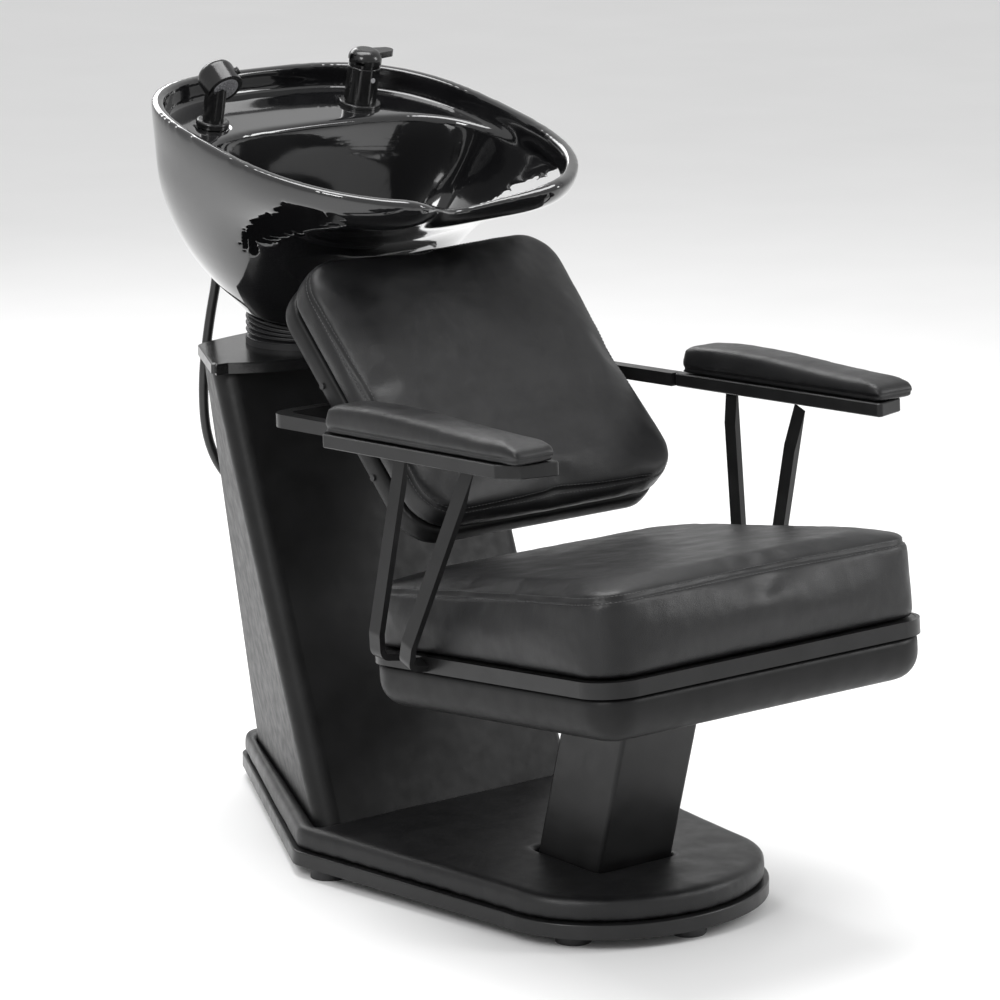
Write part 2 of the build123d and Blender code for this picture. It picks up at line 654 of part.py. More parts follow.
with BuildPart() as bowl:
    for section in OUTER:
        add(oval(*section))
    loft()
    # The rim wall above the deck
    for height, half, front, back, front_round, rear_round, recess in OUTER[:2]:
        lift = 1.0 if height == 0 else 0.0
        add(oval(height + lift, half - WALL, front + WALL, back - WALL, front_round, rear_round, recess))
    loft(mode=Mode.SUBTRACT)
    for section in BASIN:
        add(oval(*section))
    loft(mode=Mode.SUBTRACT)
    # Neck notch in the front rim
    with BuildSketch(Plane(origin=bowl_plane().from_local_coords((0, -300, 0)), x_dir=(1, 0, 0), z_dir=-bowl_plane().y_dir)):
        with BuildLine():
            Spline(
                *[
                    (x, -NOTCH_DROP * 0.5 * (1 + math.cos(math.pi * x / NOTCH_HALF)))
                    for x in range(-125, 126, 25)
                ]
            )
            Polyline((125, 0), (125, 20), (-125, 20), (-125, 0))
        make_face()
    extrude(amount=-150, mode=Mode.SUBTRACT)
    # Hollow under the deck, open at the lower rear where the hoses come out
    for height, half, back in ((DECK - WALL, 175, 226), (-110, 160, 206), (-185, 116, 178)):
        with BuildSketch(bowl_plane(height)):
            with Locations((0, (HOLLOW_FRONT + back) / 2)):
                RectangleRounded(2 * half, back - HOLLOW_FRONT, 26)
    loft(mode=Mode.SUBTRACT)
    with BuildSketch(bowl_plane(-180)):
        with Locations((0, 148)):
            RectangleRounded(216, 56, 24)
    extrude(amount=-90, mode=Mode.SUBTRACT)
    # Bores for the mixer, the spray sleeve and the drain
    with BuildSketch(bowl_plane(DECK - 40)):
        with Locations((MIXER_X, MIXER_V)):
            Circle(17)
        with Locations((SPRAY_X, SPRAY_V)):
            Circle(17)
    extrude(amount=60, mode=Mode.SUBTRACT)
    with BuildSketch(bowl_plane(BOTTOM - 5)):
        with Locations((0, DRAIN_V)):
            Circle(DRAIN_R)
    extrude(amount=40, mode=Mode.SUBTRACT)
save(bowl, "bowl")

# ---------------------------------------------------------------- drain
def bowl_spot(x, v, w):
    """A plane square to the bowl's rim with its origin at x, v, w in the bowl's frame."""
    return Plane(origin=bowl_plane(w).from_local_coords((x, v, 0)), x_dir=(1, 0, 0), z_dir=bowl_plane().z_dir)


def ring(plane, outer, inner=0.0):
    """A disc or ring drawn on a plane."""
    with BuildSketch(plane) as face:
        Circle(outer)
        if inner:
            Circle(inner, mode=Mode.SUBTRACT)
    return face.sketch


with BuildPart() as drain_flange:
    extrude(ring(bowl_spot(0, DRAIN_V, FLOOR + 0.2), 33, 20), amount=3)
    extrude(ring(bowl_spot(0, DRAIN_V, FLOOR - 1.2), DRAIN_R - 0.3, 20), amount=2)
    extrude(ring(bowl_spot(0, DRAIN_V, BOTTOM - 14), DRAIN_R - 0.3, 17), amount=FLOOR - BOTTOM + 12.8)
save(drain_flange, "drain_flange")

with BuildPart() as drain_nut:
    extrude(ring(bowl_spot(0, DRAIN_V, BOTTOM - 10), 29.5, DRAIN_R - 0.3), amount=9.8)
save(drain_nut, "drain_nut")

with BuildPart() as drain_tailpiece:
    extrude(ring(bowl_spot(0, DRAIN_V, BOTTOM - 26), 19, 17), amount=11.8)
save(drain_tailpiece, "drain_tailpiece")

STRAINER_R = 19.5
with BuildPart() as drain_strainer:
    extrude(ring(bowl_spot(0, DRAIN_V, FLOOR - 1), STRAINER_R), amount=3)
    with BuildSketch(bowl_spot(0, DRAIN_V, FLOOR - 2)):
        with PolarLocations(13, 10):
            Circle(2.2)
    extrude(amount=6, mode=Mode.SUBTRACT)
    extrude(ring(bowl_spot(0, DRAIN_V, FLOOR + 2), 4), amount=9)
    fillet(drain_strainer.edges().sort_by(Axis((0, 0, 0), bowl_plane().z_dir))[-1], 2)
save(drain_strainer, "drain_strainer")

# ---------------------------------------------------------------- mixer
BODY_R, BODY_H = 21.0, 47.0
BODY_BASE = DECK + 5.4
BODY_TOP = BODY_BASE + BODY_H
SHANK_R, SHANK_END = 16.0, DECK - 34.0
STEM_R = 8.0
LEVER_R, LEVER_H, LEVER_REACH = 21.5, 17.0, 42.0
STEM_TOP = BODY_TOP + 4.3
LUG_BEHIND, PIN_LIFT, LEVER_PIN_R = 14.0, 7.0, 1.5

with BuildPart() as mixer_ring:
    extrude(ring(bowl_spot(MIXER_X, MIXER_V, DECK + 0.2), 27, SHANK_R + 0.3), amount=5)
    fillet(mixer_ring.edges().group_by(Axis((0, 0, 0), bowl_plane().z_dir))[-1][0], 2)
save(mixer_ring, "mixer_ring")

with BuildPart() as mixer_body:
    extrude(ring(bowl_spot(MIXER_X, MIXER_V, BODY_BASE), BODY_R), amount=BODY_H)
    fillet(mixer_body.edges().group_by(Axis((0, 0, 0), bowl_plane().z_dir))[-1], 1.5)
    extrude(ring(bowl_spot(MIXER_X, MIXER_V, SHANK_END), SHANK_R), amount=BODY_BASE - SHANK_END)
    extrude(ring(bowl_spot(MIXER_X, MIXER_V, BODY_TOP - 14), STEM_R + 0.05), amount=20, mode=Mode.SUBTRACT)
save(mixer_body, "mixer_body")

with BuildPart() as mixer_nut:
    with BuildSketch(bowl_spot(MIXER_X, MIXER_V, DECK - WALL - 9.4)):
        RegularPolygon(24, 6)
        Circle(SHANK_R + 0.2, mode=Mode.SUBTRACT)
    extrude(amount=9)
save(mixer_nut, "mixer_nut")

with BuildPart() as mixer_plug:
    face_out = -bowl_plane().y_dir
    spot = bowl_plane(BODY_TOP - 14).from_local_coords((MIXER_X, MIXER_V, 0)) + face_out * (BODY_R - 0.6)
    with BuildSketch(Plane(origin=spot, z_dir=face_out)):
        Circle(3.2)
    extrude(amount=1.6)
    add(mixer_body.part, mode=Mode.SUBTRACT)
save(mixer_plug, "mixer_plug")

with BuildPart() as mixer_tails:
    with BuildSketch(bowl_spot(MIXER_X, MIXER_V, SHANK_END - 70.2)):
        with Locations((10.6, -5), (10.6, 5)):
            Circle(3.5)
    extrude(amount=70)
save(mixer_tails, "mixer_tails")

def lever_spot(across, behind, w):
    """A plane at the lever's hinge frame: local -y points the way of its beak, +X on the bowl."""
    origin = bowl_spot(MIXER_X - behind, MIXER_V + across, w).origin
    return Plane(origin=origin, x_dir=bowl_plane().y_dir, z_dir=bowl_plane().z_dir)


def pin_hole(half_length, radius):
    """The lever pin's circle at its low end, facing along the pin."""
    spot = lever_spot(-half_length, LUG_BEHIND, STEM_TOP + PIN_LIFT).origin
    return ring(Plane(origin=spot, z_dir=bowl_plane().y_dir), radius)


with BuildPart() as mixer_stem:
    extrude(ring(bowl_spot(MIXER_X, MIXER_V, BODY_TOP - 13), STEM_R), amount=14)
    extrude(ring(bowl_spot(MIXER_X, MIXER_V, BODY_TOP + 0.3), BODY_R - 1), amount=4)
    with BuildSketch(lever_spot(0, LUG_BEHIND, STEM_TOP - 1)):
        Rectangle(10, 7)
    extrude(amount=11)
    extrude(pin_hole(10, LEVER_PIN_R), amount=20, mode=Mode.SUBTRACT)
save(mixer_stem, "mixer_stem")

with BuildPart() as mixer_lever:
    extrude(ring(bowl_spot(MIXER_X, MIXER_V, STEM_TOP + 0.3), LEVER_R), amount=LEVER_H)
    fillet(mixer_lever.edges().group_by(Axis((0, 0, 0), bowl_plane().z_dir))[-1], 12)
    with BuildSketch(lever_spot(0, 0, STEM_TOP + 6)):
        with BuildLine():
            Polyline((-13, 0), (-8, -LEVER_REACH + 8), (8, -LEVER_REACH + 8), (13, 0), close=True)
        make_face()
        with Locations((0, -LEVER_REACH + 8)):
            Circle(8)
    extrude(amount=8)
    # Room for the stem's lug, and behind the pin for the lever to rock back
    with BuildSketch(lever_spot(0, LUG_BEHIND + 3, STEM_TOP)):
        Rectangle(10.6, 16)
    extrude(amount=12, mode=Mode.SUBTRACT)
    with BuildSketch(lever_spot(0, 20, STEM_TOP)):
        Rectangle(50, 20)
    extrude(amount=4, mode=Mode.SUBTRACT)
    extrude(pin_hole(12, LEVER_PIN_R + 0.05), amount=24, mode=Mode.SUBTRACT)
save(mixer_lever, "mixer_lever")

with BuildPart() as lever_pin:
    extrude(pin_hole(10, LEVER_PIN_R), amount=20)
save(lever_pin, "lever_pin")

# ---------------------------------------------------------------- hand spray
SLEEVE_R, SLEEVE_END = 16.5, DECK - 60.0
HANDLE_R = 13.5
with BuildPart() as spray_sleeve:
    extrude(ring(bowl_spot(SPRAY_X, SPRAY_V, DECK + 0.2), 21), amount=8)
    fillet(spray_sleeve.edges().group_by(Axis((0, 0, 0), bowl_plane().z_dir))[-1], 3)
    extrude(ring(bowl_spot(SPRAY_X, SPRAY_V, SLEEVE_END), SLEEVE_R), amount=DECK + 0.2 - SLEEVE_END)
    extrude(ring(bowl_spot(SPRAY_X, SPRAY_V, SLEEVE_END + 4), HANDLE_R + 0.3), amount=90, mode=Mode.SUBTRACT)
save(spray_sleeve, "spray_sleeve")

with BuildPart() as sleeve_nut:
    with BuildSketch(bowl_spot(SPRAY_X, SPRAY_V, DECK - WALL - 9.4)):
        RegularPolygon(24, 6)
        Circle(SLEEVE_R + 0.2, mode=Mode.SUBTRACT)
    extrude(amount=9)
save(sleeve_nut, "sleeve_nut")

HEAD_R, HEAD_BACK, HEAD_FACE = 24.0, 14.0, 22.0
head_centre = Vector(-127, 642, 956)
head_out = Vector(0, -0.77, -0.63).normalized()
head_side = Vector(1, 0, 0)
head_top = (head_side * 0.74 + head_out.cross(head_side) * 0.67).normalized()
with BuildPart() as handset:
    with BuildSketch(Plane(origin=head_centre - head_out * HEAD_BACK, z_dir=head_out)):
        Circle(HEAD_R)
    extrude(amount=HEAD_BACK + HEAD_FACE)
    fillet(handset.edges().filter_by(GeomType.CIRCLE).sort_by(Axis(head_centre, head_out))[0], 12)
    extrude(ring(bowl_spot(SPRAY_X, SPRAY_V, SLEEVE_END + 5), HANDLE_R), amount=DECK + 52 - SLEEVE_END - 5)
    with BuildSketch(Plane(origin=head_centre + head_out * (HEAD_FACE - 2), z_dir=head_out)):
        Circle(18)
    extrude(amount=6, mode=Mode.SUBTRACT)
    with BuildSketch(Plane(origin=head_centre + head_out * 8 + head_top * 14, z_dir=head_top)):
        Circle(5.1)
    extrude(amount=20, mode=Mode.SUBTRACT)
save(handset, "handset")

with BuildPart() as spray_face:
    with BuildSketch(Plane(origin=head_centre + head_out * (HEAD_FACE - 1.8), z_dir=head_out)):
        Circle(17.7)
    extrude(amount=2.6)
    with BuildSketch(Plane(origin=head_centre + head_out * (HEAD_FACE + 0.8), z_dir=head_out)):
        for radius, count in ((5, 6), (10, 12), (14.5, 16)):
            with PolarLocations(radius, count):
                Circle(0.9)
    extrude(amount=1.2)
save(spray_face, "spray_face")

with BuildPart() as spray_button:
    with BuildSketch(Plane(origin=head_centre + head_out * 8 + head_top * 19, z_dir=head_top)):
        Circle(5)
    extrude(amount=9)
    fillet(spray_button.edges().filter_by(GeomType.CIRCLE).sort_by(Axis(head_centre, head_top))[-1], 1.5)
save(spray_button, "spray_button")

# The spray hose leaves the sleeve, hangs in one loop behind the tower and comes back up to the mixer.
HOSE_R = 6.5
HOSE_ROUTE = [
    (-135, 653.9, 836.4),
    (-135, 660, 806),
    (-104, 679, 757),
    (-88, 697, 700),
    (-92, 714, 628),
    (-96, 724, 548),
    (-88, 727, 470),
    (-52, 728, 412),
    (0, 728, 390),
    (52, 728, 412),
    (88, 727, 470),
    (96, 724, 548),
    (92, 714, 628),
    (87, 699, 703),
    (98, 684, 768),
    (105, 668, 832),
    (105, 661.7, 864.4),
]


def route_radii(points):
    """The bend radius at each inner point: as wide as the shorter run beside it allows."""
    radii = []
    for a, b, c in zip(points, points[1:], points[2:]):
        first, second = Vector(*b) - Vector(*a), Vector(*c) - Vector(*b)
        half_turn = math.radians(first.get_angle(second)) / 2
        radii.append(0.45 * min(first.length, second.length) / math.tan(half_turn))
    return radii


hose_radii = route_radii(HOSE_ROUTE)
print("hose bend radii", [round(r) for r in hose_radii])
with BuildPart() as spray_hose:
    with BuildLine() as hose_line:
        FilletPolyline(*HOSE_ROUTE, radius=hose_radii)
    hose_start = Vector(*HOSE_ROUTE[1]) - Vector(*HOSE_ROUTE[0])
    with BuildSketch(Plane(origin=HOSE_ROUTE[0], z_dir=hose_start)):
        Circle(HOSE_R)
    sweep(path=hose_line.line)
hose_length = hose_line.wires()[0].length
print("press way", tuple(-head_top))
print("hose length", round(hose_length, 1), "volume ratio", spray_hose.part.volume / (math.pi * HOSE_R**2 * hose_length))
save(spray_hose, "spray_hose")
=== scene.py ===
"""The looks of the shampoo backwash unit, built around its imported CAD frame. Lengths are in metres."""

import json
import math

import bpy
from mathutils import Matrix, Vector, kdtree, noise
from mathutils.bvhtree import BVHTree


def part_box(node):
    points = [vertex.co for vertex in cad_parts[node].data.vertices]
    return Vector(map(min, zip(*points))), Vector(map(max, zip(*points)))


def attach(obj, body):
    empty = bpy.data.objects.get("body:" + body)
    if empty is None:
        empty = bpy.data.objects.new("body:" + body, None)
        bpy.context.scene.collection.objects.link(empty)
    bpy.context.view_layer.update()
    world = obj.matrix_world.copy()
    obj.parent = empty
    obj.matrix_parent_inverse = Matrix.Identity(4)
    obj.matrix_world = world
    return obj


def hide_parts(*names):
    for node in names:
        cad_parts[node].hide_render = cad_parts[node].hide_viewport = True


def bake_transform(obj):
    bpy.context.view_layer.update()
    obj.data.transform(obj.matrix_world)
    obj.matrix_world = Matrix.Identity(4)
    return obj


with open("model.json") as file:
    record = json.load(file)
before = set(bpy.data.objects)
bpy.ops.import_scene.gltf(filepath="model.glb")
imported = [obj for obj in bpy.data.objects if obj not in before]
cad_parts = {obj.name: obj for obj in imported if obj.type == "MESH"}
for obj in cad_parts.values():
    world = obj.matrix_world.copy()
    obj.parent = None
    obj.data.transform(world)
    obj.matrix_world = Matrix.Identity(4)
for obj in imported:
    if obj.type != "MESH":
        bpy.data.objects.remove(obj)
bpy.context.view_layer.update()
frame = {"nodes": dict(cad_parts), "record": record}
scene = bpy.context.scene

# ---------------------------------------------------------------- camera
CAMERA_AT = Vector((-3.8225, -4.7466, 1.9075))
CAMERA_RIGHT = Vector((0.77920, -0.62676, 0.00295))
CAMERA_UP = Vector((0.14256, 0.18180, 0.97295))
LENS_MM = 184.9


def add_camera():
    """The camera that the photograph was taken from, as fitted to the object."""
    data = bpy.data.cameras.new("camera")
    data.lens = LENS_MM
    data.clip_end = 50
    camera = bpy.data.objects.new("camera", data)
    scene.collection.objects.link(camera)
    back = CAMERA_RIGHT.cross(CAMERA_UP)
    turn = Matrix((CAMERA_RIGHT, CAMERA_UP, back)).transposed()
    camera.matrix_world = Matrix.Translation(CAMERA_AT) @ turn.to_4x4()
    scene.camera = camera


add_camera()


# ---------------------------------------------------------------- mesh helpers
def add_mesh(name, points, faces):
    """A smooth-shaded mesh object in the scene."""
    mesh = bpy.data.meshes.new(name)
    mesh.from_pydata([tuple(p) for p in points], [], faces)
    mesh.validate()
    mesh.shade_smooth()
    piece = bpy.data.objects.new(name, mesh)
    scene.collection.objects.link(piece)
    return piece


def copy_of(name, node):
    """A new piece in the scene with a CAD node's mesh."""
    piece = bpy.data.objects.new(name, frame["nodes"][node].data.copy())
    scene.collection.objects.link(piece)
    return piece


def bake_modifiers(piece):
    """Replace a piece's mesh with its modified one and drop the modifiers."""
    ready = piece.evaluated_get(bpy.context.evaluated_depsgraph_get())
    mesh = bpy.data.meshes.new_from_object(ready)
    piece.modifiers.clear()
    piece.data = mesh
    mesh.shade_smooth()


def soften(piece, lean, voxel, passes):
    """Remake a mesh evenly, square to its own lean, and round its edges over by smoothing."""
    piece.data.transform(Matrix.Rotation(lean, 4, "X"))
    remesh = piece.modifiers.new("remesh", "REMESH")
    remesh.mode = "VOXEL"
    remesh.voxel_size = voxel
    bake_modifiers(piece)
    smooth = piece.modifiers.new("smooth", "SMOOTH")
    smooth.iterations = passes
    bake_modifiers(piece)
    piece.data.transform(Matrix.Rotation(-lean, 4, "X"))


def quads(rings, around):
    """Faces that join rings of the same number of points."""
    faces = []
    for i in range(rings - 1):
        low, high = i * around, (i + 1) * around
        for j in range(around):
            k = (j + 1) % around
            faces.append((low + j, low + k, high + k, high + j))
    return faces


# ---------------------------------------------------------------- hose
HOSE_RADIUS = 0.0065
RIB_PITCH, RIB_DEPTH = 0.0032, 0.0006
HOSE_ROUTE = [
    (-0.135, 0.4160, 0.8244),
    (-0.135, 0.4221, 0.7940),
    (-0.104, 0.4411, 0.7450),
    (-0.088, 0.4591, 0.6880),
    (-0.092, 0.4761, 0.6160),
    (-0.096, 0.4861, 0.5360),
    (-0.088, 0.4891, 0.4580),
    (-0.052, 0.4901, 0.4000),
    (0, 0.4901, 0.3780),
    (0.052, 0.4901, 0.4000),
    (0.088, 0.4891, 0.4580),
    (0.096, 0.4861, 0.5360),
    (0.092, 0.4761, 0.6160),
    (0.087, 0.4611, 0.6910),
    (0.098, 0.4461, 0.7560),
    (0.105, 0.4301, 0.8200),
    (0.105, 0.4238, 0.8524),
]


def spline_points(route):
    """The smooth line that a route of control points gives."""
    curve = bpy.data.curves.new("route", "CURVE")
    curve.dimensions = "3D"
    spline = curve.splines.new("NURBS")
    spline.points.add(len(route) - 1)
    for point, place in zip(spline.points, route):
        point.co = (*place, 1)
    spline.order_u = 3
    spline.use_endpoint_u = True
    spline.resolution_u = 48
    holder = bpy.data.objects.new("route", curve)
    scene.collection.objects.link(holder)
    bpy.context.view_layer.update()
    line = bpy.data.meshes.new_from_object(holder.evaluated_get(bpy.context.evaluated_depsgraph_get()))
    points = [v.co.copy() for v in line.vertices]
    bpy.data.objects.remove(holder)
    return points


def spaced(points, step):
    """Points a fixed step apart along a line."""
    kept, carry = [points[0]], 0.0
    for a, b in zip(points, points[1:]):
        length = (b - a).length
        while carry + length >= step:
            a = a + (b - a) * ((step - carry) / length)
            length = (b - a).length
            kept.append(a)
            carry = 0.0
        carry += length
    return kept


def ribbed_tube(name, points, radius, pitch, depth):
    """A hose with rings round it, along closely spaced points."""
    around, rings = 16, []
    side = Vector((1, 0, 0))
    for i, place in enumerate(points):
        ahead = (points[min(i + 1, len(points) - 1)] - points[max(i - 1, 0)]).normalized()
        side = (side - ahead * side.dot(ahead)).normalized()
        across = ahead.cross(side)
        reach = radius - depth * (0.5 - 0.5 * math.cos(math.pi * i))
        for j in range(around):
            turn = 2 * math.pi * j / around
            rings.append(place + (side * math.cos(turn) + across * math.sin(turn)) * reach)
    faces = quads(len(points), around)
    faces.append(tuple(reversed(range(around))))
    faces.append(tuple(range(len(rings) - around, len(rings))))
    return add_mesh(name, rings, faces)


hose_line = spaced(spline_points(HOSE_ROUTE), RIB_PITCH / 2)
hose = ribbed_tube("hose", hose_line, HOSE_RADIUS, RIB_PITCH, RIB_DEPTH)
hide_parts("spray_hose")
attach(hose, "bowl_body")


# ---------------------------------------------------------------- materials
class Finish:
    """A Principled material with short ways to add noise, ramps and bumps."""

    def __init__(self, name):
        self.material = bpy.data.materials.new(name)
        self.material.use_nodes = True
        self.nodes = self.material.node_tree.nodes
        self.links = self.material.node_tree.links
        self.shader = self.nodes["Principled BSDF"]
        self.place = self.nodes.new("ShaderNodeTexCoord").outputs["Object"]
        self.normal = None

    def set(self, **values):
        for socket, value in values.items():
            self.shader.inputs[socket.replace("_", " ")].default_value = value

    def cloud(self, scale, detail=4.0, stretch=(1, 1, 1)):
        mapping = self.nodes.new("ShaderNodeMapping")
        mapping.inputs["Scale"].default_value = stretch
        self.links.new(self.place, mapping.inputs["Vector"])
        texture = self.nodes.new("ShaderNodeTexNoise")
        texture.inputs["Scale"].default_value = scale
        texture.inputs["Detail"].default_value = detail
        self.links.new(mapping.outputs["Vector"], texture.inputs["Vector"])
        return texture.outputs["Fac"]

    def cells(self, scale):
        texture = self.nodes.new("ShaderNodeTexVoronoi")
        texture.feature = "DISTANCE_TO_EDGE"
        texture.inputs["Scale"].default_value = scale
        self.links.new(self.place, texture.inputs["Vector"])
        return texture.outputs["Distance"]

    def ramp(self, source, low, high, start=0.3, end=0.7):
        ramp = self.nodes.new("ShaderNodeValToRGB")
        ramp.color_ramp.elements[0].position = start
        ramp.color_ramp.elements[0].color = low
        ramp.color_ramp.elements[1].position = end
        ramp.color_ramp.elements[1].color = high
        self.links.new(source, ramp.inputs["Fac"])
        return ramp.outputs["Color"]

    def colour(self, source, low, high):
        self.links.new(self.ramp(source, (*low, 1), (*high, 1)), self.shader.inputs["Base Color"])

    def roughness(self, source, low, high):
        grey = self.ramp(source, (low, low, low, 1), (high, high, high, 1))
        self.links.new(grey, self.shader.inputs["Roughness"])

    def bump(self, source, strength, distance):
        node = self.nodes.new("ShaderNodeBump")
        node.inputs["Strength"].default_value = strength
        node.inputs["Distance"].default_value = distance
        self.links.new(source, node.inputs["Height"])
        if self.normal:
            self.links.new(self.normal, node.inputs["Normal"])
        self.normal = node.outputs["Normal"]
        self.links.new(self.normal, self.shader.inputs["Normal"])


def leather(name):
    """Satin black leatherette: pebbled grain, soft creases and a worn sheen in patches."""
    f = Finish(name)
    f.colour(f.cloud(14, 6), (0.0035, 0.0035, 0.004), (0.008, 0.008, 0.0085))
    f.roughness(f.cloud(30, 5), 0.33, 0.46)
    f.set(Specular_IOR_Level=0.38)
    f.bump(f.cloud(38, 3, (1, 1.6, 1)), 0.35, 0.0012)
    f.bump(f.ramp(f.cells(620), (0, 0, 0, 1), (1, 1, 1, 1), 0.0, 0.35), 0.45, 0.00022)
    f.bump(f.cloud(2200, 2), 0.3, 0.0001)
    return f.material


def glaze(name):
    """Black glazed ceramic: deep gloss with the faint unevenness of a fired glaze."""
    f = Finish(name)
    f.colour(f.cloud(9, 3), (0.004, 0.004, 0.0045), (0.007, 0.007, 0.0075))
    f.roughness(f.cloud(22, 4), 0.05, 0.11)
    f.set(Coat_Weight=0.6, Coat_Roughness=0.03)
    f.bump(f.cloud(26, 2), 0.06, 0.0008)
    return f.material


def coated(name, low, high, tone, gleam=0.3):
    """Black powder coat or lacquer with fine orange peel."""
    f = Finish(name)
    f.colour(f.cloud(25, 5), (tone * 0.8, tone * 0.8, tone * 0.82), (tone * 1.4, tone * 1.4, tone * 1.45))
    f.roughness(f.cloud(60, 5), low, high)
    f.set(Specular_IOR_Level=gleam)
    f.bump(f.cloud(900, 3), 0.25, 0.00015)
    return f.material


def moulded(name, tone, low, high):
    """Moulded plastic or rubber with a fine spark-eroded texture."""
    f = Finish(name)
    f.colour(f.cloud(35, 5), tuple(0.85 * c for c in tone), tuple(1.15 * c for c in tone))
    f.roughness(f.cloud(80, 5), low, high)
    f.bump(f.cloud(1400, 3), 0.3, 0.00012)
    return f.material


def polished(name, tone, low, high):
    """Bare metal with fine turning marks."""
    f = Finish(name)
    f.colour(f.cloud(40, 4), tuple(0.9 * c for c in tone), tone)
    f.set(Metallic=1.0)
    f.roughness(f.cloud(200, 4, (1, 1, 8)), low, high)
    f.bump(f.cloud(700, 3, (1, 1, 6)), 0.12, 0.0001)
    return f.material


FINISHES = {
    "leather_black": leather("leather_black"),
    "base_cover": leather("base_cover"),
    "board": coated("board", 0.28, 0.4, 0.009, 0.4),
    "shell_black": coated("shell_black", 0.38, 0.5, 0.006, 0.22),
    "cap_black": coated("cap_black", 0.14, 0.22, 0.008, 0.6),
    "metal_black": coated("metal_black", 0.28, 0.38, 0.007, 0.35),
    "screws": coated("screws", 0.22, 0.34, 0.02),
    "rubber_black": moulded("rubber_black", (0.011, 0.011, 0.012), 0.42, 0.56),
    "ceramic_black": glaze("ceramic_black"),
    "tap_black": coated("tap_black", 0.16, 0.26, 0.006, 0.45),
    "tap_metal": coated("tap_metal", 0.12, 0.2, 0.006, 0.5),
    "plug_grey": moulded("plug_grey", (0.30, 0.30, 0.31), 0.25, 0.35),
    "spray_grey": moulded("spray_grey", (0.20, 0.20, 0.21), 0.5, 0.6),
    "drain_steel": polished("drain_steel", (0.72, 0.72, 0.73), 0.10, 0.2),
    "pipes_plastic": moulded("pipes_plastic", (0.55, 0.55, 0.53), 0.35, 0.45),
    "pipes_copper": polished("pipes_copper", (0.72, 0.42, 0.28), 0.2, 0.35),
    "hose_black": moulded("hose_black", (0.012, 0.012, 0.012), 0.28, 0.4),
}
# Thread colour is lifted well above the black leather's colour as a painted glint on the stitches, which
# are black.
THREAD_WITH_PAINTED_GLINT = moulded("thread", (0.035, 0.035, 0.036), 0.3, 0.4)


def paint(piece, slot):
    """Give a piece its finish and name the record's slot it comes from."""
    piece.data.materials.clear()
    piece.data.materials.append(FINISHES[slot])


for subpart in frame["record"]["subparts"]:
    paint(frame["nodes"][subpart["node"]], subpart["material_slot"])
paint(hose, "hose_black")


# ---------------------------------------------------------------- cushions
class Lie:
    """The leaning box of a CAD node: u across, v along, w out of its face, all measured from its mesh."""

    def __init__(self, node, lean):
        self.lean = lean
        self.u = Vector((1, 0, 0))
        self.w = Vector((0, math.sin(lean), math.cos(lean)))
        self.v = self.w.cross(self.u)
        spread = []
        for axis in (self.u, self.v, self.w):
            along = [v.co.dot(axis) for v in frame["nodes"][node].data.vertices]
            spread.append((min(along), max(along)))
        self.low = Vector([s[0] for s in spread])
        self.high = Vector([s[1] for s in spread])
        self.middle = (self.low + self.high) / 2
        self.half = (self.high - self.low) / 2

    def at(self, u, v, w):
        return self.u * (self.middle.x + u) + self.v * (self.middle.y + v) + self.w * (self.low.z + w)


def rounded_outline(half_u, half_v, corner, step):
    """Points and outward ways round a rectangle with round corners, about a step apart."""
    found = []
    flat_u, flat_v = half_u - corner, half_v - corner
    for quarter, (su, sv) in enumerate(((1, 1), (-1, 1), (-1, -1), (1, -1))):
        count = max(4, round(corner * math.pi / 2 / step))
        for i in range(count + 1):
            turn = math.pi / 2 * (quarter + i / count)
            way = (math.cos(turn), math.sin(turn))
            found.append((su * flat_u + corner * way[0], sv * flat_v + corner * way[1], *way))
        length = 2 * (flat_u if quarter % 2 == 0 else flat_v)
        steps = max(1, round(length / step))
        u, v, a, b = found[-1]
        for i in range(1, steps):
            slide = length * i / steps
            found.append((u - b * slide, v + a * slide, a, b))
    return found


PIN_DEPTH = 0.006
CREASE_DEPTH = 0.0005
GROOVE_DEPTH, GROOVE_WIDTH = 0.0024, 0.0035
SIM_FRAMES = 20


def sim_cushion(name, node, lie, voxel, shrink, pressure, cap):
    """A padded piece grown by cloth simulation from a node's shape, held where it is mounted."""
    piece = copy_of(name, node)
    centre = lie.at(0, 0, lie.half.z)
    for vertex in piece.data.vertices:
        offset = vertex.co - centre
        for axis, half in ((lie.u, lie.half.x), (lie.v, lie.half.y)):
            offset -= axis * (offset.dot(axis) * shrink / half)
        vertex.co = centre + offset
    soften(piece, lie.lean, voxel, 4)
    swell(piece, lie, pressure, cap)
    even = piece.modifiers.new("even", "SMOOTH")
    even.iterations = 8
    finer = piece.modifiers.new("finer", "SUBSURF")
    finer.levels = finer.render_levels = 1
    bake_modifiers(piece)
    return piece


def swell(piece, lie, pressure, cap):
    """Blow a closed mesh up like stuffed cloth, with its mounted side pinned and its travel capped."""
    rest = [v.co.copy() for v in piece.data.vertices]
    pins = piece.vertex_groups.new(name="pins")
    floor = lie.low.z + PIN_DEPTH
    pins.add([i for i, co in enumerate(rest) if co.dot(lie.w) < floor], 1.0, "REPLACE")
    cloth = piece.modifiers.new("cloth", "CLOTH")
    settings = cloth.settings
    settings.vertex_group_mass = "pins"
    settings.use_pressure = True
    settings.uniform_pressure_force = pressure
    settings.effector_weights.gravity = 0
    settings.quality = 5
    settings.tension_stiffness = settings.compression_stiffness = 30
    settings.bending_stiffness = 4
    cloth.collision_settings.use_collision = False
    for number in range(1, SIM_FRAMES + 1):
        scene.frame_set(number)
    bake_modifiers(piece)
    scene.frame_set(1)
    for vertex, start in zip(piece.data.vertices, rest):
        travel = vertex.co - start
        if travel.length > cap:
            vertex.co = start + travel * (cap / travel.length)


